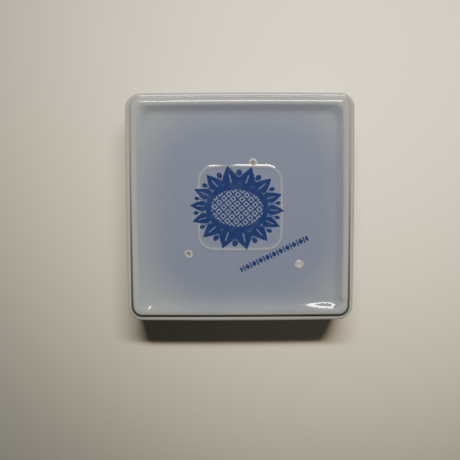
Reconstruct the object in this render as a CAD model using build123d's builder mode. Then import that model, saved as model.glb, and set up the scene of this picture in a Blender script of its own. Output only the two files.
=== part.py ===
"""A square lidded box in glazed earthenware, lying face down with its foot uppermost.

It is two fired pieces. The lid lies on the table, and its locating flange stands up into the box.
The box rests mouth down on the lid. Its underside, on top here, has a stepped foot with a broad
foot ring, a recessed panel, a moulded square bead and the scars of a three-pointed kiln stilt.
The stepped foot nests in the pocket of another box's lid, so that such boxes stack.

Lengths are in millimetres. +Z is up as the box lies, and the origin is the centre of the face
that rests on the table.
"""

import os

from build123d import *

# Outline that box and lid share
width = 112.0
corner_radius = 7.0

# Box, from its seat on the lid up to its foot
box_height = 28.4
wall = 4.0
floor_thickness = 4.2
inner_corner_radius = 5.0
floor_fillet = 4.0
rim_radius = 0.8

# Stepped foot and its ring
foot_inset = 2.6
foot_height = 2.0
ledge_radius = 1.6
foot_edge_radius = 1.4
ring_land = 1.2
recess_depth = 1.8
recess_slope = 8.0
recess_corner_radius = 4.0
panel_corner_radius = 10.0
recess_sections = 5

# Moulded square bead in the middle of the panel
bead_side = 40.0
bead_corner_radius = 6.5
bead_width = 1.3
bead_height = 0.3
bead_edge_radius = 0.25

# Scars of the three-pointed kiln stilt
stilt_centre = (3.3, -9.4)
stilt_radius = 31.5
stilt_angle = 84.5
stilt_points = 3
scar_radius = 1.4
scar_height = 0.3
scar_taper = 45
pit_radius = 0.55
pit_depth = 0.5

# Lid
lid_thickness = 4.2
lid_edge_radius = 0.8
border_height = 1.4
border_edge_radius = 0.4
stack_clearance = 0.5
flange_height = 5.0
flange_thickness = 3.0
flange_edge_radius = 0.8
flange_inner_radius = 2.0
lid_clearance = 0.9

# The most of a face that one fillet may take
fillet_share = 0.9

# Levels
seat_z = border_height + lid_thickness
foot_z = seat_z + box_height
ledge_z = foot_z - foot_height
panel_z = foot_z - recess_depth
inner_floor_z = panel_z - floor_thickness

# Plan sizes that follow from the ones above
foot_side = width - 2 * foot_inset
foot_corner_radius = corner_radius - foot_inset
mouth_side = width - 2 * wall
pocket_side = foot_side + 2 * stack_clearance
pocket_corner_radius = foot_corner_radius + stack_clearance
border_width = foot_inset - stack_clearance
flange_side = mouth_side - 2 * lid_clearance
flange_corner_radius = inner_corner_radius - lid_clearance


def held_to(radius, room):
    """A fillet's radius, held to a little under the width of the face that it has to itself."""
    return min(radius, fillet_share * room)


def highest_face(part):
    """The face of a part that lies highest."""
    return part.faces().sort_by(Axis.Z)[-1]


def lowest_face(part):
    """The face of a part that lies lowest."""
    return part.faces().sort_by(Axis.Z)[0]


def recess_section(share):
    """Side, corner radius and level of the recess where its slope is this share of the way in."""
    drop = recess_depth * share * share * (3 - 2 * share)
    land_inset = held_to(foot_edge_radius, foot_height) + ring_land
    side = foot_side - 2 * (land_inset + recess_slope * share)
    radius = recess_corner_radius + (panel_corner_radius - recess_corner_radius) * share
    return side, radius, foot_z - drop


def square_ring(outer_side, outer_radius, thickness, inner_radius):
    """Draw a rounded square frame of even thickness in the sketch that is open."""
    RectangleRounded(outer_side, outer_side, outer_radius)
    inner_side = outer_side - 2 * thickness
    RectangleRounded(inner_side, inner_side, inner_radius, mode=Mode.SUBTRACT)


# Hollow of the box, with a coved corner between floor and walls
with BuildPart() as hollow:
    with BuildSketch(Plane.XY.offset(seat_z)):
        RectangleRounded(mouth_side, mouth_side, inner_corner_radius)
    extrude(amount=inner_floor_z - seat_z)
    fillet(highest_face(hollow).edges(), held_to(floor_fillet, inner_corner_radius))

# Bead, rounded along its crest
with BuildPart() as bead:
    with BuildSketch(Plane.XY.offset(panel_z)):
        square_ring(
            bead_side + bead_width,
            bead_corner_radius + bead_width / 2,
            bead_width,
            bead_corner_radius - bead_width / 2,
        )
    extrude(amount=bead_height)
    fillet(highest_face(bead).edges(), held_to(bead_edge_radius, min(bead_width / 2, bead_height)))

with BuildPart() as box_body:
    # Walls and floor as one block, its rim on the lid and its bottom edge rounded
    with BuildSketch(Plane.XY.offset(seat_z)):
        RectangleRounded(width, width, corner_radius)
    extrude(amount=ledge_z - seat_z)
    fillet(highest_face(box_body).edges(), held_to(ledge_radius, foot_inset))
    # Stepped foot
    with BuildSketch(Plane.XY.offset(ledge_z)):
        RectangleRounded(foot_side, foot_side, foot_corner_radius)
    extrude(amount=foot_height)
    fillet(highest_face(box_body).edges(), held_to(foot_edge_radius, foot_height))
    # Recess inside the foot ring: its slope leaves the land and the panel smoothly
    for step in range(recess_sections):
        side, radius, level = recess_section(step / (recess_sections - 1))
        with BuildSketch(Plane.XY.offset(level)):
            RectangleRounded(side, side, radius)
    loft(mode=Mode.SUBTRACT)
    # Hollow, and the rim round its mouth
    add(hollow.part, mode=Mode.SUBTRACT)
    fillet(lowest_face(box_body).edges(), held_to(rim_radius, wall / 2))
    # Bead
    add(bead.part)
    # Each stilt scar is a ring of glaze round a broken pit
    stilt_plane = Plane.XY.offset(panel_z).move(Location((*stilt_centre, 0)))
    with BuildSketch(stilt_plane):
        with PolarLocations(stilt_radius, stilt_points, stilt_angle):
            Circle(scar_radius)
    extrude(amount=scar_height, taper=scar_taper)
    with BuildSketch(stilt_plane.offset(scar_height)):
        with PolarLocations(stilt_radius, stilt_points, stilt_angle):
            Circle(pit_radius)
    extrude(amount=-pit_depth, mode=Mode.SUBTRACT)

with BuildPart() as lid:
    # Plate and the border under it, in one block
    with BuildSketch():
        RectangleRounded(width, width, corner_radius)
    extrude(amount=seat_z)
    fillet(highest_face(lid).edges(), held_to(rim_radius, lid_thickness / 2))
    fillet(lowest_face(lid).edges(), held_to(lid_edge_radius, border_width / 2))
    # Pocket that takes the foot of the box above in a stack
    with BuildSketch():
        RectangleRounded(pocket_side, pocket_side, pocket_corner_radius)
    extrude(amount=border_height, mode=Mode.SUBTRACT)
    fillet(lowest_face(lid).inner_wires().edges(), held_to(border_edge_radius, border_width / 2))
    # Flange that keeps the lid in the mouth of the box
    with BuildSketch(Plane.XY.offset(seat_z)):
        square_ring(flange_side, flange_corner_radius, flange_thickness, flange_inner_radius)
    extrude(amount=flange_height)
    fillet(highest_face(lid).edges(), held_to(flange_edge_radius, flange_thickness / 2))

box_body.part.label = "box_body"
lid.part.label = "lid"

os.makedirs("parts", exist_ok=True)
export_step(box_body.part, "parts/box_body.step")
export_step(lid.part, "parts/lid.step")

for piece in (box_body, lid):
    print(piece.part.label, f"{piece.part.volume / 1000:.1f} cm3", piece.part.bounding_box())
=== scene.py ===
# %% [markdown]
# # A glazed earthenware box, lying face down
#
# This lesson dresses a square, two-piece pottery box. The engineering model gives the frame: how
# big the box and its lid are, and where each of them sits. The lesson adds what a potter would
# add: soft edges where glaze has run, a foot ring, a moulded bead, three stilt scars, a blue
# stamp under the glaze, and the glaze itself.
#
# The first cell loads the frame.

# %% Load the frame
import math

import bmesh
import bpy
import numpy as np
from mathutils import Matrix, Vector


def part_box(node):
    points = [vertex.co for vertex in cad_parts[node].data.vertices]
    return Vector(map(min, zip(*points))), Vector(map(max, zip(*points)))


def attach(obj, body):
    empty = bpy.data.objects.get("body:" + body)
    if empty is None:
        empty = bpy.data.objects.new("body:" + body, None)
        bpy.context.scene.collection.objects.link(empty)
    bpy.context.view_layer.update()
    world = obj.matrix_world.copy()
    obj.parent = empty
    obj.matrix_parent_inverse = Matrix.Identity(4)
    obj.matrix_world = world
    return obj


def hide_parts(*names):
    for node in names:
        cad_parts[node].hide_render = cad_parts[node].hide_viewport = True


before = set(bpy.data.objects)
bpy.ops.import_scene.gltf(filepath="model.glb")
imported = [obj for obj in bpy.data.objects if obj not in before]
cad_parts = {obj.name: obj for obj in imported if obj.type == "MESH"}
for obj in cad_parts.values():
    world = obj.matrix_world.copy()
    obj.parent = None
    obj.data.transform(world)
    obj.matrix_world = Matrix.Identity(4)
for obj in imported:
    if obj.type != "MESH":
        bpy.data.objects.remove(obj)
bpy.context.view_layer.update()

# %% [markdown]
# ## Where things are
#
# Blender works in metres, and pottery is measured in millimetres, so one factor turns one into
# the other. The levels come from the frame: the lid's plate ends where the box is seated, and the
# foot is the highest thing of all. The other sizes are the potter's own, and match the frame.

# %% Sizes
mm = 0.001

box_low, box_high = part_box("box_body")
lid_low, lid_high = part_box("lid")
outer_half = box_high.x
seat_level = box_low.z
foot_level = box_high.z
flange_level = lid_high.z

outer_corner = 7.0 * mm
wall = 4.0 * mm
floor_thickness = 4.2 * mm
inner_corner = 5.0 * mm
cove = 4.0 * mm
rim_radius = 0.8 * mm

foot_inset = 2.6 * mm
foot_height = 2.0 * mm
recess_depth = 1.8 * mm

ledge_level = foot_level - foot_height
panel_level = foot_level - recess_depth
inner_floor_level = panel_level - floor_thickness
print(f"box is {2 * outer_half / mm:.0f} mm square, its foot stands at {foot_level / mm:.1f} mm")

# %% [markdown]
# ## Rounded squares
#
# Everything on this box is a rounded square: the walls, the rim, the foot, the recess and the
# bead. So both pieces are made as a stack of rounded squares, each with the same number of points,
# joined ring to ring. A subdivided cube would be quicker to start, but its edges could not be
# placed where a potter's profile puts them.
#
# One quarter of the outline is drawn, then turned three times. A side may bulge a little, as
# cast clay does.

# %% Outline of a rounded square
side_steps = 40
corner_steps = 14
bow_share = 0.008


def rounded_square(half, corner, bulge=0.0):
    """Points of a rounded square round the origin, anticlockwise from the middle of its right side."""
    straight = half - corner
    rising = np.sin(np.linspace(0, math.pi / 2, side_steps, endpoint=False)) * straight
    turn = np.linspace(0, math.pi / 2, corner_steps + 1)
    falling = rising[:0:-1]
    x = np.concatenate([np.full_like(rising, half), straight + corner * np.cos(turn), falling])
    y = np.concatenate([rising, straight + corner * np.sin(turn), np.full_like(falling, half)])
    swell = 1 + bulge / half * (1 - (np.minimum(x, y) / half) ** 2)
    points = np.stack([x * swell, y * swell], axis=1)
    quarters = [points]
    for _ in range(3):
        points = np.stack([-points[:, 1], points[:, 0]], axis=1)
        quarters.append(points)
    return np.concatenate(quarters)


print("points in each ring:", len(rounded_square(outer_half, outer_corner)))

# %% [markdown]
# ## From profile to pot
#
# A profile is a list of stations. Each station says how wide its ring is, how round its corners
# are, and how high it lies. Two helpers make stations: `rounding` follows a quarter circle, as a
# wetted sponge leaves an edge, and `run` goes straight from one station to the next.
#
# `turn_into_pot` joins the rings and closes both ends with a small cap, which makes one closed
# solid with a skin that has no seam. A full lathe can't do this, because the rings are square.

# %% Stations
cap_shares = (0.004, 0.2, 0.5, 0.8)


def rounding(half, corner, level, radius, first, last, steps=7, rise=None):
    """Stations along an edge rounded about this half width, corner and level, from one angle to
    another. With a rise the edge is an ellipse, so high instead of as high as it is wide."""
    turns = np.radians(np.linspace(first, last, steps + 1))
    return [
        (half + radius * math.cos(a), corner + radius * math.cos(a),
         level + (rise or radius) * math.sin(a))
        for a in turns
    ]


def run(start, end, steps):
    """Stations between two others, both left out, evenly spread."""
    shares = np.linspace(0, 1, steps + 1)[1:-1]
    return [tuple(np.array(start) * (1 - s) + np.array(end) * s) for s in shares]


print("stations in one rounded edge:", len(rounding(outer_half, outer_corner, 0.0, rim_radius, 0, 90)))


# %% The solid that stations make
def ring_points(half, corner, level, bulge=0.0):
    """The points of one station's ring. Each side bows a little, and more where it bulges."""
    outline = rounded_square(half * (1 - bow_share), corner, half * bow_share + bulge)
    return np.column_stack([outline, np.full(len(outline), level)])


def turn_into_pot(name, stations):
    """One closed mesh object from a list of stations, inside centre to outside centre."""
    rings = np.array([ring_points(*station) for station in stations])
    count, around = rings.shape[:2]
    faces = []
    for ring in range(count - 1):
        for point in range(around):
            after = (point + 1) % around
            low, high = ring * around, (ring + 1) * around
            faces.append((low + point, low + after, high + after, high + point))
    faces.append(tuple(range(around))[::-1])
    faces.append(tuple((count - 1) * around + point for point in range(around)))
    mesh = bpy.data.meshes.new(name)
    mesh.from_pydata(rings.reshape(-1, 3).tolist(), [], faces)
    clay = bmesh.new()
    clay.from_mesh(mesh)
    bmesh.ops.recalc_face_normals(clay, faces=clay.faces)
    clay.to_mesh(mesh)
    clay.free()
    mesh.polygons.foreach_set("use_smooth", [True] * len(mesh.polygons))
    pot = bpy.data.objects.new(name, mesh)
    bpy.context.scene.collection.objects.link(pot)
    print(f"{name}: {count} rings, {len(mesh.polygons)} faces")
    return pot


# %% [markdown]
# ## The box
#
# The box is cast in one piece. Read its profile as a walk: start in the middle of its floor on
# the inside, go out to the cove and down the wall to the rim, round the rim, up the outside, over
# the ledge, up the step of the foot, over the foot ring, and down a long soft slope into the
# recessed panel. The walk ends in the middle of the panel, after it has crossed the bead.

# %% Profile of the foot ring and its slope
foot_half = outer_half - foot_inset
foot_corner = outer_corner - foot_inset
foot_edge, foot_edge_rise = 2.3 * mm, 1.5 * mm
ledge_edge, ledge_edge_rise = 1.6 * mm, 1.3 * mm
step_fillet = 0.45 * mm
land_corner = 3.4 * mm
brow_width = 0.5 * mm
steep_width = 2.8 * mm
slope_width = 10.0 * mm
panel_corner = 6.5 * mm


def slope_stations(steps=56):
    """Down from the land to the panel: a soft brow, a short steep stretch, then a long cove that
    dies out."""
    across = np.linspace(0, slope_width, steps + 1)
    brow = np.clip(across / brow_width, 0, 1)
    cove_left = 1 - np.clip((across - brow_width - steep_width)
                            / (slope_width - brow_width - steep_width), 0, 1)
    steepness = brow * brow * (3 - 2 * brow) * cove_left ** 2
    fallen = np.concatenate([[0], np.cumsum((steepness[1:] + steepness[:-1]) / 2)])
    start_half = foot_half - foot_edge
    return [
        (start_half - out, land_corner + (panel_corner - land_corner) * out / slope_width,
         foot_level - recess_depth * share)
        for out, share in zip(across, fallen / fallen[-1])
    ]


print(f"the slope falls {recess_depth / mm:.1f} mm over {slope_width / mm:.0f} mm")

# %% [markdown]
# The bead is a thin, low, rounded square that the mould pressed into the panel. Glaze has filled
# its feet, so its section is a cosine with wide, soft feet instead of a half circle.

# %% Profile of the moulded bead
bead_half = 20.0 * mm
bead_corner = 6.5 * mm
bead_reach = 1.5 * mm
bead_height = 0.225 * mm
bead_bulge = 0.35 * mm
bead_softness = 2.6


def bead_stations(steps=30):
    """Across the bead, from outside to inside, with soft feet where glaze has pooled."""
    stations = []
    for across in np.linspace(-1, 1, steps + 1):
        offset = -across * bead_reach
        height = bead_height * math.cos(across * math.pi / 2) ** bead_softness
        stations.append((bead_half + offset, bead_corner + offset, panel_level + height, bead_bulge))
    return stations


print(f"the bead is {2 * bead_half / mm:.0f} mm square and {bead_height / mm:.3f} mm high")

# %% [markdown]
# Now the whole walk, from the middle of the inside to the middle of the panel. The rings inside
# the bead lose its bulge bit by bit, so that the panel ends in a small cap with straight sides.

# %% Profile of the whole box
def box_stations():
    mouth_half = outer_half - wall
    floor_half, floor_corner = mouth_half - cove, inner_corner - cove
    inside = [(floor_half * s, floor_corner * s, inner_floor_level) for s in cap_shares]
    inside += rounding(floor_half, floor_corner, inner_floor_level - cove, cove, 90, 0)
    inside += run(inside[-1], (mouth_half, inner_corner, seat_level + rim_radius), 10)
    rim = rounding(mouth_half + rim_radius, inner_corner + rim_radius, seat_level + rim_radius,
                   rim_radius, 180, 270, 5)
    rim += rounding(outer_half - rim_radius, outer_corner - rim_radius, seat_level + rim_radius,
                    rim_radius, 270, 360, 5)
    ledge = rounding(outer_half - ledge_edge, outer_corner - ledge_edge,
                     ledge_level - ledge_edge_rise, ledge_edge, 0, 90, 14, ledge_edge_rise)
    outside = run(rim[-1], ledge[0], 14)
    step = rounding(foot_half + step_fillet, foot_corner + step_fillet, ledge_level + step_fillet,
                    step_fillet, 270, 180, 5)
    foot = rounding(foot_half - foot_edge, foot_corner - foot_edge,
                    foot_level - foot_edge_rise, foot_edge, 0, 90, 18, foot_edge_rise)
    foot = [(half, corner + (land_corner - foot_corner + foot_edge) * share ** 2, level)
            for (half, corner, level), share in zip(foot, np.linspace(0, 1, len(foot)))]
    slope = slope_stations()
    bead = bead_stations()
    panel = run((*slope[-1], 0.0), bead[0], 22)
    inner_panel = [(bead[-1][0] * s, bead[-1][1] * s, panel_level, bead_bulge * s)
                   for s in np.linspace(1, 0.01, 18)[1:]]
    return [*inside, *rim, *outside, *ledge, *step, *foot[:-1], *slope, *panel, *bead, *inner_panel]


glazed_box = turn_into_pot("glazed_box", box_stations())

# %% [markdown]
# ## The lid
#
# The lid is the same square again. Its walk starts in the middle of the plate inside the box,
# goes out to the locating flange and over it, across the seat, round the plate's edge and down to
# the border, and ends in the middle of the pocket that takes the foot of another box.

# %% Profile of the lid
lid_clearance = 0.9 * mm
flange_thickness = 3.0 * mm
flange_edge = 0.8 * mm
flange_inner_corner = 2.0 * mm
flange_fillet = 0.5 * mm
border_height = 1.4 * mm
stack_clearance = 0.5 * mm
lid_edge = 0.8 * mm
border_edge = 0.4 * mm


def lid_stations():
    flange_half = outer_half - wall - lid_clearance
    flange_corner = inner_corner - lid_clearance
    inner_half = flange_half - flange_thickness
    pocket_half, pocket_corner = foot_half + stack_clearance, foot_corner + stack_clearance
    plate = [((inner_half - flange_fillet) * s, flange_fillet * s, seat_level)
             for s in cap_shares]
    flange = rounding(inner_half - flange_fillet, flange_inner_corner - flange_fillet,
                      seat_level + flange_fillet, flange_fillet, 270, 360, 4)
    flange += rounding(inner_half + flange_edge, flange_inner_corner + flange_edge,
                       flange_level - flange_edge, flange_edge, 180, 90, 5)
    flange += rounding(flange_half - flange_edge, flange_corner - flange_edge,
                       flange_level - flange_edge, flange_edge, 90, 0, 5)
    flange += rounding(flange_half + flange_fillet, flange_corner + flange_fillet,
                       seat_level + flange_fillet, flange_fillet, 180, 270, 4)
    edge = rounding(outer_half - rim_radius, outer_corner - rim_radius, seat_level - rim_radius,
                    rim_radius, 90, 0, 5)
    edge += run(edge[-1], (outer_half, outer_corner, lid_edge), 5)
    edge += rounding(outer_half - lid_edge, outer_corner - lid_edge, lid_edge, lid_edge, 0, -90, 6)
    pocket = rounding(pocket_half + border_edge, pocket_corner + border_edge, border_edge,
                      border_edge, 270, 180, 4)
    pocket += rounding(pocket_half - border_edge, pocket_corner - border_edge,
                       border_height - border_edge, border_edge, 0, 90, 4)
    face = [((pocket_half - border_edge) * s, (pocket_corner - border_edge) * s, border_height)
            for s in np.linspace(1, cap_shares[0], 20)[1:]]
    return [*plate, *flange, *edge, *pocket, *face]


glazed_lid = turn_into_pot("glazed_lid", lid_stations())

# %% [markdown]
# ## Shader maths as plain expressions
#
# A glaze is easier to read as a formula than as a cloud of nodes. `Wire` holds one output socket,
# and Python's operators on a wire add the Math node that does the sum. Every other node comes from
# `Wire.node`: it makes the node, applies its settings first, and then fills its sockets with
# values or with other wires.

# %% The wire class
class Wire:
    """One socket that takes part in arithmetic; each operator adds a Math node to its tree."""

    def __init__(self, tree, socket):
        self.tree = tree
        self.socket = socket

    @classmethod
    def node(cls, tree, kind, settings=None, inputs=None, output=0):
        """Adds a node, sets it up, fills its sockets, and returns a wire from one of its outputs."""
        made = tree.nodes.new(kind)
        for name, value in (settings or {}).items():
            setattr(made, name, value)
        for key, value in (inputs or {}).items():
            if isinstance(value, Wire):
                tree.links.new(value.socket, made.inputs[key])
            else:
                made.inputs[key].default_value = value
        return cls(tree, made.outputs[output])

    def math(self, operation, *others):
        return Wire.node(self.tree, "ShaderNodeMath", {"operation": operation},
                         dict(enumerate((self, *others))))

    def __add__(self, other):
        return self.math("ADD", other)

    __radd__ = __add__

    def __mul__(self, other):
        return self.math("MULTIPLY", other)

    __rmul__ = __mul__

    def __sub__(self, other):
        return self.math("SUBTRACT", other)

    def __rsub__(self, other):
        return Wire.node(self.tree, "ShaderNodeMath", {"operation": "SUBTRACT"}, {0: other, 1: self})

    def __truediv__(self, other):
        return self.math("DIVIDE", other)

    def __abs__(self):
        return self.math("ABSOLUTE")

    def rise(self, low, high):
        """0 up to low, 1 from high on, and a smooth ramp in between; falls if low is the higher."""
        return Wire.node(self.tree, "ShaderNodeMapRange", {"interpolation_type": "SMOOTHSTEP"},
                         {"Value": self, "From Min": low, "From Max": high})

    def noise(self, scale, detail=2.0, roughness=0.5):
        """Soft noise from 0 to 1 over this wire's coordinates."""
        return Wire.node(self.tree, "ShaderNodeTexNoise", {},
                         {"Vector": self, "Scale": scale, "Detail": detail, "Roughness": roughness})

    def axes(self):
        """The three parts of a vector."""
        return [Wire.node(self.tree, "ShaderNodeSeparateXYZ", {}, {0: self}, part) for part in range(3)]

    def blend(self, colour, other):
        """A colour that turns into another as this wire goes from 0 to 1."""
        return Wire.node(self.tree, "ShaderNodeMix", {"data_type": "RGBA"},
                         {0: self, 6: colour, 7: other}, 2)


print("a wire can:", ", ".join(name for name in vars(Wire) if not name.startswith("_")))

# %% [markdown]
# ## Glaze that has run
#
# Fired glaze is never quite flat: it swells and sags a few hundredths of a millimetre, and that
# is what makes a highlight wander. A bump map could fake the shading, but not the shape, so a
# Geometry Nodes tree moves the skin itself. It only sinks the skin, never raises it, so the pot
# stays inside its size. The same tree serves the box and the lid.

# %% A tree's sockets, and a tree's result as a plain mesh
def new_tree(name, inputs):
    """A geometry tree with named inputs: name -> (socket type, value)."""
    tree = bpy.data.node_groups.new(name, "GeometryNodeTree")
    tree.interface.new_socket("Geometry", in_out="INPUT", socket_type="NodeSocketGeometry")
    tree.interface.new_socket("Geometry", in_out="OUTPUT", socket_type="NodeSocketGeometry")
    for label, (kind, value) in inputs.items():
        socket = tree.interface.new_socket(label, in_out="INPUT", socket_type=kind)
        if value is not None:
            socket.default_value = value
    entry = tree.nodes.new("NodeGroupInput")
    return tree, {socket.name: Wire(tree, socket) for socket in entry.outputs if socket.name}


def close_tree(tree, geometry, material):
    """Ends a tree: instances become real, and everything takes the material."""
    real = Wire.node(tree, "GeometryNodeRealizeInstances", {}, {0: geometry})
    dressed = Wire.node(tree, "GeometryNodeSetMaterial", {}, {"Geometry": real, "Material": material})
    tree.links.new(dressed.socket, tree.nodes.new("NodeGroupOutput").inputs[0])


def apply_tree(piece, tree, values):
    """Runs a tree on a piece, with its inputs set by identifier, and keeps only the plain mesh."""
    modifier = piece.modifiers.new(tree.name, "NODES")
    modifier.node_group = tree
    for item in tree.interface.items_tree:
        if item.in_out == "INPUT" and item.name in values:
            modifier[item.identifier] = values[item.name]
    evaluated = piece.evaluated_get(bpy.context.evaluated_depsgraph_get())
    result = bpy.data.meshes.new_from_object(evaluated)
    piece.modifiers.remove(modifier)
    while result.materials[0] is None:
        result.materials.pop(index=0)
    result.name = piece.name
    piece.data = result
    print(f"{piece.name}: {len(result.vertices)} points after {tree.name}")


print("a tree's inputs are named, and its result is one plain mesh")

# %% The tree that lets the glaze swell and sag
swell_band = (0.25, 0.75)


def glaze_swell_tree():
    tree, given = new_tree("glaze_swell", {
        "Sag": ("NodeSocketFloat", 0.05 * mm),
        "Swells Per Metre": ("NodeSocketFloat", 45.0),
        "Seed": ("NodeSocketFloat", 3.0),
        "Glaze": ("NodeSocketMaterial", None),
    })
    place = Wire.node(tree, "GeometryNodeInputPosition")
    normal = Wire.node(tree, "GeometryNodeInputNormal")
    swell = Wire.node(tree, "ShaderNodeTexNoise", {"noise_dimensions": "4D"},
                      {"Vector": place, "W": given["Seed"], "Scale": given["Swells Per Metre"],
                       "Detail": 1.0})
    sunk = (swell.rise(*swell_band) - 1.0) * given["Sag"]
    shift = Wire.node(tree, "ShaderNodeVectorMath", {"operation": "SCALE"},
                      {"Vector": normal, "Scale": sunk})
    moved = Wire.node(tree, "GeometryNodeSetPosition", {},
                      {"Geometry": given["Geometry"], "Offset": shift})
    close_tree(tree, moved, given["Glaze"])
    return tree


glaze_swell = glaze_swell_tree()
print(f"{glaze_swell.name}: {len(glaze_swell.nodes)} nodes")

# %% [markdown]
# ## A hollow pressed by a finger
#
# Cast clay is soft when it leaves the mould, and a finger leaves hollows in it that are a few
# tenths of a millimetre deep. That is little, but a glossy slope shows it: where a hollow tilts
# the skin towards the lamp, it catches a highlight. One could push points by hand. A tree that
# sinks the skin round a place, with a soft bell-shaped edge, can be used again: it runs once for
# each hollow, two on the slope inside the foot and a faint one on the bead.

# %% The tree that presses a hollow
def pressed_hollow_tree():
    tree, given = new_tree("pressed_hollow", {
        "Centre": ("NodeSocketVector", (0.0, 0.0, 0.0)),
        "Reach": ("NodeSocketVector", (5.0 * mm, 2.5 * mm, 2.0 * mm)),
        "Depth": ("NodeSocketFloat", 0.3 * mm),
        "Glaze": ("NodeSocketMaterial", None),
    })
    place = Wire.node(tree, "GeometryNodeInputPosition")
    away = Wire.node(tree, "ShaderNodeVectorMath", {"operation": "SUBTRACT"},
                     {0: place, 1: given["Centre"]})
    shares = Wire.node(tree, "ShaderNodeVectorMath", {"operation": "DIVIDE"},
                       {0: away, 1: given["Reach"]})
    squared = Wire.node(tree, "ShaderNodeVectorMath", {"operation": "DOT_PRODUCT"},
                        {0: shares, 1: shares}, "Value")
    sunk = (squared * -0.5).math("EXPONENT") * given["Depth"] * -1.0
    drop = Wire.node(tree, "ShaderNodeCombineXYZ", {}, {"Z": sunk})
    moved = Wire.node(tree, "GeometryNodeSetPosition", {},
                      {"Geometry": given["Geometry"], "Offset": drop})
    close_tree(tree, moved, given["Glaze"])
    return tree


pressed_hollow = pressed_hollow_tree()
print(f"{pressed_hollow.name}: {len(pressed_hollow.nodes)} nodes")

# %% [markdown]
# ## The glaze
#
# The clay is pale and the glaze over it is a thin blue-grey glass. Where it lies thick, in the
# recessed panel, it looks blue; where it runs thin, over edges and towards the walls, the pale
# clay shows through and it looks grey-white, and the panel is also painted paler towards the walls
# as a reflection of the pale room. Where it pools, at the foot of the step, it is dark. Painted
# shade darkens the right and far slopes, the near side of the groove and the near side of the foot
# ring's crest. So the colour follows height and distance from the middle. Object coordinates give
# both, because every piece sits at the origin.

# %% Colours of the glaze
# The thin colour also paints the room's reflection, and the deep and pooled colours also paint shade.
thick_glaze = (0.124, 0.140, 0.198, 1)
thin_glaze_and_reflection = (0.225, 0.245, 0.240, 1)
edge_glaze = (0.270, 0.272, 0.252, 1)
deep_glaze_and_shade = (0.088, 0.097, 0.120, 1)
pooled_glaze_and_shade = (0.030, 0.033, 0.033, 1)
speck_colour = (0.050, 0.048, 0.045, 1)
glaze_ior = 1.52
mirrored = ((glaze_ior - 1) / (glaze_ior + 1)) ** 2
print(f"the glaze mirrors {mirrored:.1%} of the light that meets it square on")


# %% Distances in millimetres
def across_and_up(place):
    """The place's three parts in millimetres."""
    return [part / mm for part in place.axes()]


def length(a, b):
    """How long the hypotenuse over two sides is."""
    return (a * a + b * b).math("SQRT")


def square_distance(x, y, core):
    """How far out a point is, so that rounded squares round a square core have one distance."""
    return length((abs(x) - core).math("MAXIMUM", 0.0), (abs(y) - core).math("MAXIMUM", 0.0)) + core


print("distances are in millimetres from the middle of a piece")

# %% [markdown]
# The colour is laid on in four coats of paint, each over the last: the panel, the slopes, the
# crests and the edge, and the groove. Each has its bands, in millimetres: a band's first number
# is where a coat begins to show, and its second is where it is full.

# %% The panel: blue in the middle, greyer towards the walls
thick_middle_x = 2.0
thick_core = 14.0
thin_and_reflection_band = (33.0, 72.0)
cloud_reach = 8.0


def panel_glaze_and_reflection(out, cloud):
    """Thick blue glaze that thins outwards, painted paler still there as a reflection of the pale room,
    with a cloudy border between the two.
    """
    # The pale mix is partly thin glaze and partly a painted reflection of the room.
    thin = (out + cloud * cloud_reach).rise(*thin_and_reflection_band)
    return thin.blend(thick_glaze, thin_glaze_and_reflection)


print(f"the glaze begins to thin {thin_and_reflection_band[0]:.0f} mm from the middle")

# %% The slopes: thicker glaze and painted shade on two sides
slope_bottom, slope_top = (0.00, 0.85), (1.70, 1.25)
right_side, far_side, left_corner = (38.0, 46.0), (36.0, 44.0), (-50.0, -44.0)
right_share = 0.55
thick_and_shade_share = 0.58


def slope_glaze_and_shade(colour, x, y, above_panel):
    """Darker halfway up the right slope and the far slope: partly thicker glaze, partly painted shade.
    """
    right = x.rise(*right_side) * right_share
    far = y.rise(*far_side) * x.rise(*left_corner)
    # Painted shade: this band stands partly for thicker glaze and partly for shade on these slopes.
    thick_and_shaded = above_panel.rise(*slope_bottom) * above_panel.rise(*slope_top)
    return (thick_and_shaded * right.math("MAXIMUM", far) * thick_and_shade_share).blend(colour, deep_glaze_and_shade)


print(f"glaze stands thick up to {slope_top[0]:.1f} mm above the panel")

# %% The crests and the edge: glaze has run off, and pale clay shows
bead_band, inside_bead = (0.06, 0.20), (30.0, 26.0)
ring_band, past_near_shaded_side = (1.40, 1.80), (-51.5, -47.5)
bead_share, ring_share = 0.5, 0.6
wall_core = 48.5
edge_band = (50.6, 52.4)
edge_wander = 1.5


def crest_colour(colour, y, out, above_panel):
    """Paler glaze on top of the bead and of the foot ring, except on the foot ring's near side, where
    painted shade keeps it darker.
    """
    bead_crest = above_panel.rise(*bead_band) * out.rise(*inside_bead)
    # Painted shade: the foot ring's crest stays darker on the near side, which faces away from the
    # lamp.
    ring_crest = above_panel.rise(*ring_band) * y.rise(*past_near_shaded_side)
    return (ring_crest * ring_share + bead_crest * bead_share).blend(colour, edge_glaze)


def edge_colour(colour, to_wall, cloud):
    """Paler glaze over the outer edge and down the walls."""
    over_edge = (to_wall + cloud * edge_wander).rise(*edge_band)
    return over_edge.blend(colour, edge_glaze)


print(f"the edge is pale from {edge_band[1]:.1f} mm out")

# %% The groove: pooled glaze and painted shade at the foot of the step
groove_inside, groove_outside, groove_height = (52.5, 53.2), (54.4, 53.8), (1.75, 1.35)
near_side, near_shade_widening = (-44.0, -50.0), 0.4
far_to_near = (48.0, -45.0)
far_groove, near_shade_gain = 0.25, 0.65


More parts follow.
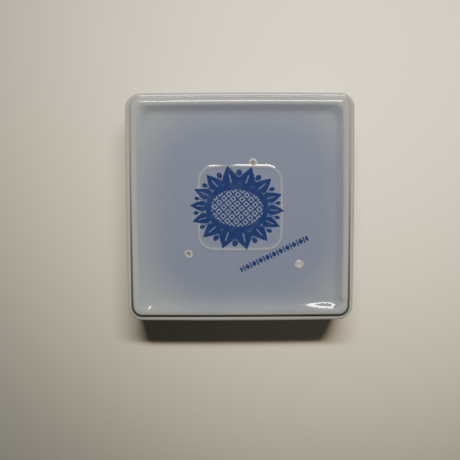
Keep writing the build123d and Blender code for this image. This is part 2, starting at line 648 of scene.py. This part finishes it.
def groove_pool_and_shade(colour, y, to_wall, above_panel):
    """Dark pooled glaze on the ledge, with painted shade that makes it darker and wider on the near
    side.
    """
    widened = to_wall + y.rise(*near_side) * near_shade_widening
    in_groove = widened.rise(*groove_inside) * to_wall.rise(*groove_outside)
    in_groove = in_groove * above_panel.rise(*groove_height)
    # Painted shade: the groove darkens towards the near side, in the foot's shadow.
    depth = y.rise(*far_to_near) * near_shade_gain + far_groove
    return (in_groove * depth).blend(colour, pooled_glaze_and_shade)


print(f"the groove lies {groove_inside[0]:.1f} to {groove_outside[0]:.1f} mm out")

# %% The colour of the glaze at any place
clouds_per_metre, grains_per_metre, pinholes_per_metre = 38.0, 620.0, 160.0
pinhole_size, pinhole_share = (0.055, 0.030), 0.7
grain_band, grain_share = (0.0, 0.4), 0.10


def glaze_colour(place):
    """All the coats together, then pinholes and a fine pale grain."""
    x, y, z = across_and_up(place)
    cloud = place.noise(clouds_per_metre, 3.0) - 0.5
    grain = place.noise(grains_per_metre, 3.0) - 0.5
    above_panel = z - panel_level / mm
    out = square_distance(x - thick_middle_x, y, thick_core)
    to_wall = square_distance(x, y, wall_core)

    colour = panel_glaze_and_reflection(out, cloud)
    colour = slope_glaze_and_shade(colour, x, y, above_panel)
    colour = crest_colour(colour, y, out, above_panel)
    colour = edge_colour(colour, to_wall, cloud)
    colour = groove_pool_and_shade(colour, y, to_wall, above_panel)
    pinhole = Wire.node(place.tree, "ShaderNodeTexVoronoi", {},
                        {"Vector": place, "Scale": pinholes_per_metre})
    colour = (pinhole.rise(*pinhole_size) * pinhole_share).blend(colour, speck_colour)
    return (grain.rise(*grain_band) * grain_share).blend(colour, edge_glaze)


print(f"pinholes lie about {1 / (pinholes_per_metre * mm):.0f} mm apart")

# %% [markdown]
# ## A blue print under the glaze
#
# The panel carries a stamped print, in cobalt, under the glaze. Such a stamp could be a picture
# wrapped on the mesh, but distances drawn with formulas stay sharp at any size and need no file.
# Every shape is a distance in millimetres that turns into ink where it falls below zero: an oval
# ring, a wreath of pointed leaves round it with a dot on a stalk between each two, and a lattice
# inside. A little noise added to every distance gives the ragged edge of a rubber stamp.

# %% Sizes of the print
wreath_centre = (-1.5 * mm, 0.0)
wreath_turn = math.radians(-3.5)
wreath_reach = (23.2, 21.2)
ring_outside = (15.5, 12.0)
ring_inside = (12.7, 9.0)
leaf_count = 14
edge_softness = 0.13
ragged = 0.55

cobalt = (0.010, 0.021, 0.086, 1)
print(f"the wreath is {2 * wreath_reach[0]:.0f} by {2 * wreath_reach[1]:.0f} mm")


# %% Ink from distances
def inked(distance):
    """1 where a distance in millimetres is below zero, 0 above, with a soft edge."""
    return distance.rise(edge_softness, -edge_softness)


def joined(first, *others):
    """Ink where any of the shapes has ink."""
    for other in others:
        first = first.math("MAXIMUM", other)
    return first


def print_frame(place, centre, turn):
    """Millimetres along and across a print that is centred and turned."""
    turned = Wire.node(place.tree, "ShaderNodeMapping", {"vector_type": "TEXTURE"},
                       {"Vector": place, "Location": (*centre, 0), "Rotation": (0, 0, turn),
                        "Scale": (mm, mm, mm)})
    return turned.axes()[:2]


print(f"an inked edge is {2 * edge_softness:.2f} mm soft")

# %% [markdown]
# The leaves stand round an oval, so they are drawn in two numbers that follow it: how far along a
# leaf a point is, 0 at the ring and 1 at the tips, and how far beside the nearest leaf's midrib.
# Folding the angle back and forth with Ping-Pong draws one leaf for all fourteen.

# %% The leaves and dots
leaf_half_width = 3.3
leaf_start = 0.25
midrib_width = (0.34, 0.16)
midrib_begins, midrib_ends = (0.06, 0.14), (0.72, 0.60)
midrib_share = 0.75
dot_place, dot_stretch, dot_radius = 0.70, 8.0, 1.15
stalk_half_width, stalk_end = 0.24, (0.70, 0.66)
past_ring, before_tips = (-0.05, 0.0), (-0.01, 0.01)


def printed_leaves(u, v, outside, ragged_edge):
    """Pointed leaves with a pale midrib, and a dot on a stalk between each two."""
    tips = 1.0 - length(u / wreath_reach[0], v / wreath_reach[1])
    along = outside / (outside + tips.math("MAXIMUM", 0.0)).math("MAXIMUM", 0.001)
    angle = (v / ring_outside[1]).math("ARCTAN2", u / ring_outside[0])
    half_turn = math.pi / leaf_count
    radius = length(u, v)
    beside_leaf = angle.math("PINGPONG", half_turn) * radius
    beside_dot = (angle + half_turn).math("PINGPONG", half_turn) * radius

    half_width = ((along * (1 - leaf_start) + leaf_start) * math.pi).math("SINE") * leaf_half_width
    midrib = beside_leaf.rise(*midrib_width) * along.rise(*midrib_begins) * along.rise(*midrib_ends)
    leaf = inked(beside_leaf - half_width + ragged_edge) * (1.0 - midrib * midrib_share)
    from_dot = length(beside_dot, (along - dot_place) * dot_stretch)
    dot = inked(from_dot - dot_radius + ragged_edge)
    stalk = inked(beside_dot - stalk_half_width + ragged_edge) * along.rise(*stalk_end)
    return joined(leaf, dot, stalk) * outside.rise(*past_ring) * tips.rise(*before_tips)


print(f"{leaf_count} leaves, each {2 * leaf_half_width:.1f} mm wide")

# %% The lattice
lattice_spacing = 3.1
lattice_step = lattice_spacing / math.sqrt(2)
bar_half_width = 0.36
stud_radius = 0.62


def printed_lattice(u, v, ragged_edge):
    """Crossed bars with a small stud in each opening."""
    one_way = (u + v).math("PINGPONG", lattice_step)
    other_way = (u - v).math("PINGPONG", lattice_step)
    from_bar = one_way.math("MINIMUM", other_way) / math.sqrt(2)
    from_stud = length(lattice_step - one_way, lattice_step - other_way) / math.sqrt(2)
    bars = inked(from_bar - bar_half_width + ragged_edge)
    studs = inked(from_stud - stud_radius + ragged_edge)
    return joined(bars, studs)


print(f"the lattice repeats every {lattice_spacing:.1f} mm")


# %% The wreath
def printed_wreath(place, ragged_edge):
    """The oval ring, the leaves round it and the lattice inside it."""
    u, v = print_frame(place, wreath_centre, wreath_turn)
    outside = length(u / ring_outside[0], v / ring_outside[1]) - 1.0
    inside = length(u / ring_inside[0], v / ring_inside[1]) - 1.0
    from_ring = (outside * ring_outside[1]).math("MAXIMUM", inside * -ring_inside[1])
    ring = inked(from_ring + ragged_edge)
    leaves = printed_leaves(u, v, outside, ragged_edge)
    lattice = printed_lattice(u, v, ragged_edge) * inked(inside * ring_inside[1])
    return joined(ring, leaves, lattice)


print(f"the ring is {ring_outside[0] - ring_inside[0]:.1f} mm wide at its sides")

# %% [markdown]
# A second, smaller print crosses the panel on a slant: one narrow row of lozenges and bars, as a
# border tool prints it.

# %% The slanting border
strip_centre = (16.6 * mm, -22.7 * mm)
strip_turn = math.radians(25.5)
strip_half_length = 18.3
strip_half_width = 1.6
strip_pitch = 3.6
lozenge_half_length = 1.30
lozenge_steepness = 0.75
strip_bar_half_width = 0.34
strip_raggedness = 0.6


def printed_strip(place, ragged_edge):
    """A row of lozenges with a bar between each two."""
    p, q = print_frame(place, strip_centre, strip_turn)
    ragged_edge = ragged_edge * strip_raggedness
    from_lozenge = p.math("PINGPONG", strip_pitch / 2)
    lozenge_reach = from_lozenge / lozenge_half_length + abs(q) / strip_half_width
    lozenge = inked((lozenge_reach - 1.0) * lozenge_steepness + ragged_edge)
    from_bar = (p + strip_pitch / 2).math("PINGPONG", strip_pitch / 2) - strip_bar_half_width
    bar = inked(from_bar.math("MAXIMUM", abs(q) - strip_half_width) + ragged_edge)
    return joined(lozenge, bar) * inked(abs(p) - strip_half_length)


print(f"the border is {2 * strip_half_length:.0f} mm long and repeats every {strip_pitch:.1f} mm")

# %% [markdown]
# ## Glaze as a material
#
# Fired glaze is one hard, clear, smooth glass, so one glossy layer is enough: a second coat on top
# would only double the highlights. Its roughness wanders a little, where use has dulled it, and a
# very faint bump stands for the orange peel that is too fine to move the mesh. Only the box has
# the prints, and only on its panel, so ink fades out below the panel's level.

# %% The prints as ink
stamp_grains_per_metre = 1100.0
ink_grains_per_metre = 240.0
ink_band = (0.15, 0.55)
thin_ink, added_ink = 0.84, 0.14
print_begins, print_full = panel_level / mm - 0.6, panel_level / mm - 0.3


def with_ink(colour, place):
    """The glaze's colour with both prints on it, a little patchy as a stamp leaves them."""
    height = across_and_up(place)[2]
    ragged_edge = (place.noise(stamp_grains_per_metre, 3.0, 0.6) - 0.5) * ragged
    prints = joined(printed_wreath(place, ragged_edge), printed_strip(place, ragged_edge))
    ink = prints * height.rise(print_begins, print_full)
    coverage = place.noise(ink_grains_per_metre, 3.0).rise(*ink_band) * added_ink + thin_ink
    return (ink * coverage).blend(colour, cobalt)


print(f"ink covers {thin_ink:.0%} to {thin_ink + added_ink:.0%} of the glaze")

# %% Glaze material
peels_per_metre = 420.0
peel_strength = 0.05
peel_height = 0.02 * mm
dull_patches_per_metre = 170.0
dull_band = (0.45, 0.8)
least_roughness, added_roughness = 0.06, 0.04


def glaze_material(name, with_prints):
    """Glossy glaze, with or without the blue prints."""
    material = bpy.data.materials.new(name)
    material.use_nodes = True
    tree = material.node_tree
    shader = tree.nodes["Principled BSDF"]
    place = Wire.node(tree, "ShaderNodeTexCoord", output="Object")
    colour = glaze_colour(place)
    if with_prints:
        colour = with_ink(colour, place)
    tree.links.new(colour.socket, shader.inputs["Base Color"])

    peel = Wire.node(tree, "ShaderNodeBump", {},
                     {"Strength": peel_strength, "Distance": peel_height,
                      "Height": place.noise(peels_per_metre, 1.0)})
    tree.links.new(peel.socket, shader.inputs["Normal"])
    dulled = place.noise(dull_patches_per_metre, 4.0).rise(*dull_band)
    roughness = dulled * added_roughness + least_roughness
    tree.links.new(roughness.socket, shader.inputs["Roughness"])
    shader.inputs["IOR"].default_value = glaze_ior
    print(f"{name}: {len(tree.nodes)} nodes")
    return material


box_glaze = glaze_material("printed_glaze", with_prints=True)
lid_glaze = glaze_material("plain_glaze", with_prints=False)

# %% [markdown]
# ## Glazing the two pieces
#
# Now the trees run. Each piece swells with its own seed, so that box and lid don't match like two
# prints of one picture. The box then gets its hollows: a long one in one corner of the slope, a
# short one in the other, and a very shallow one that breaks the bead's crest.

# %% Swell and hollows
hollows = (
    # centre x and y, reach along x and y, and depth, in millimetres
    (45.7, -46.4, 7.0, 1.20, 0.41),
    (-45.8, -46.9, 1.9, 1.30, 0.235),
    (-6.8, 20.3, 3.6, 0.75, 0.05),
)
hollow_level = foot_level - 1.0 * mm
hollow_reach_up = 3.0 * mm

apply_tree(glazed_box, glaze_swell, {"Glaze": box_glaze, "Seed": 3.0})
apply_tree(glazed_lid, glaze_swell, {"Glaze": lid_glaze, "Seed": 8.0})
for x, y, reach_x, reach_y, depth in hollows:
    apply_tree(glazed_box, pressed_hollow, {
        "Glaze": box_glaze, "Centre": (x * mm, y * mm, hollow_level),
        "Reach": (reach_x * mm, reach_y * mm, hollow_reach_up), "Depth": depth * mm})

# %% [markdown]
# Each piece rides on its body, so that the box lifts and the lid stays. Each stands for the plain
# engineering shape that it replaces.

# %% Tie the pieces to their bodies
for pot, body, node, slot in (
    (glazed_box, "box", "box_body", "box_glaze"),
    (glazed_lid, "lid", "lid", "lid_glaze"),
):
    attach(pot, body)
    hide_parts(node)
    print(f"{pot.name} rides on {body} and stands for {node}")

# %% [markdown]
# ## Stilt scars
#
# In the kiln the glazed box stood on a stilt with three points. Each point tore the glaze when it
# was knocked off, and left a broken ring of glaze round a small rough pit. Three scars on one
# circle are a repeat, so Geometry Nodes place them: a circle of three points, one disc on each
# with its own turn and stretch, and a skin that rises to a rim and falls into a pit. The distance
# from a scar's middle is stored on its points as the attribute `across`, for the shape and the
# material to share.

# %% A disc that becomes a scar
scar_root = 0.3 * mm
disc_points = 40
disc_rings = 16
top_band = (-0.1 * mm, 0.1 * mm)


def scar_disc(tree, radius):
    """A flat disc whose points carry how far across it they lie, and whether they are on top."""
    disc = Wire.node(tree, "GeometryNodeMeshCylinder", {"fill_type": "TRIANGLE_FAN"},
                     {"Vertices": disc_points, "Side Segments": 1, "Fill Segments": disc_rings,
                      "Radius": radius, "Depth": 2 * scar_root})
    x, y, z = Wire.node(tree, "GeometryNodeInputPosition").axes()
    for name, value in (("across", length(x, y) / radius), ("top", z.rise(*top_band))):
        disc = Wire.node(tree, "GeometryNodeStoreNamedAttribute", {"data_type": "FLOAT"},
                         {"Geometry": disc, "Name": name, "Value": value})
    return disc


def attribute(tree, name):
    """A number that was stored on the points."""
    return Wire.node(tree, "GeometryNodeInputNamedAttribute", {"data_type": "FLOAT"}, {"Name": name})


def random_vector(tree, low, high, seed):
    """Another vector for each instance, between two."""
    return Wire.node(tree, "FunctionNodeRandomValue", {"data_type": "FLOAT_VECTOR"},
                     {0: low, 1: high, "Seed": seed})


print(f"a disc is {2 * scar_root / mm:.1f} mm thick, and its top starts level with the panel")

# %% The torn surface of a scar
tears_per_metre, tear_reach = 420.0, 0.7
rim_inside, rim_outside = (0.25, 0.52), (0.95, 0.60)
breaks_per_metre, break_band = 260.0, (0.35, 0.60)
lowest_rim, added_rim = 0.15, 0.9
skirt_band, skirt_height, pit_drop = (1.0, 0.7), 0.16 * mm, 0.12 * mm


def torn(across, place):
    """How far across a scar, with a ragged edge wherever this is used."""
    return across + (place.noise(tears_per_metre, 3.0) - 0.5) * tear_reach


def scar_height(tree, rim_height):
    """A broken rim on a low skirt, and a pit inside it."""
    place = Wire.node(tree, "GeometryNodeInputPosition")
    across = torn(attribute(tree, "across"), place)
    rim = across.rise(*rim_inside) * across.rise(*rim_outside)
    broken = place.noise(breaks_per_metre, 1.0).rise(*break_band) * added_rim + lowest_rim
    return rim * broken * rim_height + across.rise(*skirt_band) * skirt_height - pit_drop


print(f"the skirt is {skirt_height / mm:.2f} mm high and the pit {pit_drop / mm:.2f} mm deep")

# %% The tree of stilt scars
least_stretch, most_stretch = (0.85, 0.95, 1), (1.0, 1.12, 1)


def stilt_scars_tree():
    """Discs on a turned circle of points, shaped into scars."""
    tree, given = new_tree("stilt_scars", {
        "Points": ("NodeSocketInt", 3),
        "Stilt Radius": ("NodeSocketFloat", 31.5 * mm),
        "First Turn": ("NodeSocketFloat", math.radians(84.5)),
        "Centre": ("NodeSocketVector", (3.3 * mm, -9.4 * mm, panel_level - scar_root)),
        "Scar Radius": ("NodeSocketFloat", 2.5 * mm),
        "Rim Height": ("NodeSocketFloat", 0.34 * mm),
        "Seed": ("NodeSocketInt", 4),
        "Glaze": ("NodeSocketMaterial", None),
    })
    ring = Wire.node(tree, "GeometryNodeMeshCircle", {},
                     {"Vertices": given["Points"], "Radius": given["Stilt Radius"]})
    turn = Wire.node(tree, "ShaderNodeCombineXYZ", {}, {"Z": given["First Turn"]})
    points = Wire.node(tree, "GeometryNodeTransform", {},
                       {"Geometry": ring, "Translation": given["Centre"], "Rotation": turn})
    placed = Wire.node(tree, "GeometryNodeInstanceOnPoints", {}, {
        "Points": points, "Instance": scar_disc(tree, given["Scar Radius"]),
        "Rotation": random_vector(tree, (0, 0, 0), (0, 0, math.tau), given["Seed"]),
        "Scale": random_vector(tree, least_stretch, most_stretch, given["Seed"])})
    scars = Wire.node(tree, "GeometryNodeRealizeInstances", {}, {0: placed})
    risen = scar_height(tree, given["Rim Height"]) * attribute(tree, "top")
    lift = Wire.node(tree, "ShaderNodeCombineXYZ", {}, {"Z": risen})
    shaped = Wire.node(tree, "GeometryNodeSetPosition", {}, {"Geometry": scars, "Offset": lift})
    smooth = Wire.node(tree, "GeometryNodeSetShadeSmooth", {}, {"Geometry": shaped})
    close_tree(tree, smooth, given["Glaze"])
    print(f"{tree.name}: {len(tree.nodes)} nodes")
    return tree


# %% [markdown]
# A scar shows three finishes: the box's own glaze at its edge, so that it has no outline, pale
# thick glaze on the rim, and rough clay in the pit. On the scar at the right, glaze has healed
# over the pit in the firing, so its pit is almost as pale as its rim.

# %% Glaze and torn clay of a scar
pale_rim = (0.370, 0.365, 0.330, 1)
biscuit = (0.105, 0.092, 0.058, 1)
torn_edge = (0.060, 0.052, 0.038, 1)
rim_band, rim_share = (0.98, 0.70), 0.80
torn_band, torn_share = (0.52, 0.42), 0.7
pit_band = (0.44, 0.34)
clay_grains_per_metre, clay_band = 1500.0, (0.2, 0.6)
healed_side, healed_pit, open_pit = (25.0 * mm, 15.0 * mm), 0.1, 0.9
rim_roughness, pit_roughness = 0.08, 0.6


def scar_material():
    """Glaze at the edge, a pale rim, and clay in the pit where it is still open."""
    material = bpy.data.materials.new("scar_glaze")
    material.use_nodes = True
    tree = material.node_tree
    shader = tree.nodes["Principled BSDF"]
    place = Wire.node(tree, "ShaderNodeTexCoord", output="Object")
    stored = Wire.node(tree, "ShaderNodeAttribute", {"attribute_name": "across"}, output="Fac")
    across = torn(stored, place)
    still_open = place.axes()[0].rise(*healed_side) * open_pit + healed_pit
    pit = across.rise(*pit_band) * still_open
    clay = pit * place.noise(clay_grains_per_metre, 2.0).rise(*clay_band)
    colour = (across.rise(*rim_band) * rim_share).blend(glaze_colour(place), pale_rim)
    colour = (across.rise(*torn_band) * still_open * torn_share).blend(colour, torn_edge)
    colour = clay.blend(colour, biscuit)
    tree.links.new(colour.socket, shader.inputs["Base Color"])
    tree.links.new((pit * pit_roughness + rim_roughness).socket, shader.inputs["Roughness"])
    shader.inputs["IOR"].default_value = glaze_ior
    print(f"{material.name}: {len(tree.nodes)} nodes")
    return material


stilt_scars = bpy.data.objects.new("stilt_scars", bpy.data.meshes.new("stilt_scars"))
bpy.context.scene.collection.objects.link(stilt_scars)
apply_tree(stilt_scars, stilt_scars_tree(), {"Glaze": scar_material()})
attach(stilt_scars, "box")

# %% [markdown]
# ## Floor
#
# The floor is a wide pale sheet of plaster-coloured card. It is only a stage, and stays out of
# the model. The light of one small lamp dies out quickly in a larger room, so the card is painted
# darker with distance from the box, as shade, on the card's own coordinates.

# %% Floor
floor_half = 4.0
floor_colour = (0.915, 0.805, 0.590, 1)
floor_shade = (0.180, 0.175, 0.152, 1)
brightest_x, brightest_y = 0.060, 0.050
shade_band = (0.00, 0.28)
card_roughness = 0.6

floor_mesh = bpy.data.meshes.new("floor")
floor_corners = [(-floor_half, -floor_half, 0), (floor_half, -floor_half, 0),
                 (floor_half, floor_half, 0), (-floor_half, floor_half, 0)]
floor_mesh.from_pydata(floor_corners, [], [(0, 1, 2, 3)])
floor = bpy.data.objects.new("floor", floor_mesh)
bpy.context.scene.collection.objects.link(floor)

floor_paint = bpy.data.materials.new("floor")
floor_paint.use_nodes = True
floor_tree = floor_paint.node_tree
floor_shader = floor_tree.nodes["Principled BSDF"]
floor_x, floor_y, _ = Wire.node(floor_tree, "ShaderNodeTexCoord", output="Object").axes()
# Painted shade: the card is darker away from the brightest place, where the lamp's light has fallen
# off.
shaded = length(floor_x - brightest_x, floor_y - brightest_y).rise(*shade_band)
floor_tree.links.new(shaded.blend(floor_colour, floor_shade).socket, floor_shader.inputs["Base Color"])
floor_shader.inputs["Roughness"].default_value = card_roughness
floor_mesh.materials.append(floor_paint)
print(f"floor: {2 * floor_half:.0f} m square")

# %% [markdown]
# ## Light
#
# One long, narrow softbox hangs above the box and behind it. It is long from side to side, so the
# shadow in front has a crisp lower edge and soft ends, and the highlights on the slopes are thin.
# A second lamp would soften the shadow, but it would also double every highlight.

# %% Softbox
lamp_colour = (1.0, 0.96, 0.88)
lamp_place = (0.045, 0.380, 0.70)
lamp_size = (0.44, 0.055)
lamp_power = 12.0
lamp_target = (0.0, 0.0, 0.03)


def softbox(name, centre, size, power, target):
    """A rectangular lamp, pointed at a place."""
    light = bpy.data.lights.new(name, "AREA")
    light.shape = "RECTANGLE"
    light.size, light.size_y = size
    light.energy = power
    light.color = lamp_colour
    lamp = bpy.data.objects.new(name, light)
    lamp.location = centre
    lamp.rotation_euler = (Vector(target) - Vector(centre)).to_track_quat("-Z", "Y").to_euler()
    bpy.context.scene.collection.objects.link(lamp)
    print(f"{name}: {power:.0f} W, {(Vector(target) - Vector(centre)).length:.2f} m away")
    return lamp


softbox("key", lamp_place, lamp_size, lamp_power, lamp_target)

# %% [markdown]
# ## The room
#
# Glaze shows what stands round it. A room with pale walls and a dark ceiling keeps the flat panel
# deep in colour, because the panel mirrors the ceiling, and makes the edges pale, because they
# mirror the walls. So the world is bright at the horizon and dark above.

# %% World
wall_band = (0.30, 0.0)
ceiling_strength, added_wall_strength = 0.07, 0.36
room_colour = (0.92, 0.95, 1.0, 1)

world = bpy.data.worlds.new("studio")
world.use_nodes = True
bpy.context.scene.world = world
room = world.node_tree
background = room.nodes["Background"]
upwards = Wire.node(room, "ShaderNodeTexCoord", output="Generated").axes()[2]
strength = upwards.rise(*wall_band) * added_wall_strength + ceiling_strength
background.inputs["Color"].default_value = room_colour
room.links.new(strength.socket, background.inputs["Strength"])
print(f"room: {ceiling_strength} above, {ceiling_strength + added_wall_strength:.2f} at the horizon")

# %% [markdown]
# ## Camera
#
# The camera looks almost straight down, from a few degrees towards the far side, so that more of
# the far ledge shows than of the near one. It stands close, about three widths of the box away,
# which makes the foot look a touch larger than the rim below it.

# %% Camera
camera_distance = 334 * mm
camera_tilt = math.radians(4.8)
camera_roll = math.radians(-0.25)
aim = Vector((-4.9 * mm, -10.6 * mm, foot_level))
view_angle = math.radians(37.1)

lens = bpy.data.cameras.new("camera")
lens.sensor_width = 36.0
lens.angle = view_angle
camera = bpy.data.objects.new("camera", lens)
camera.location = aim + camera_distance * Vector((0, math.sin(camera_tilt), math.cos(camera_tilt)))
camera.rotation_euler = (-camera_tilt, 0, camera_roll)
bpy.context.scene.collection.objects.link(camera)
bpy.context.scene.camera = camera
print(f"camera: {lens.lens:.1f} mm lens, {camera.location.z / mm:.0f} mm above the floor")

# %% [markdown]
# ## Nothing may grow
#
# The finished pieces must stay inside the box of the engineering model.
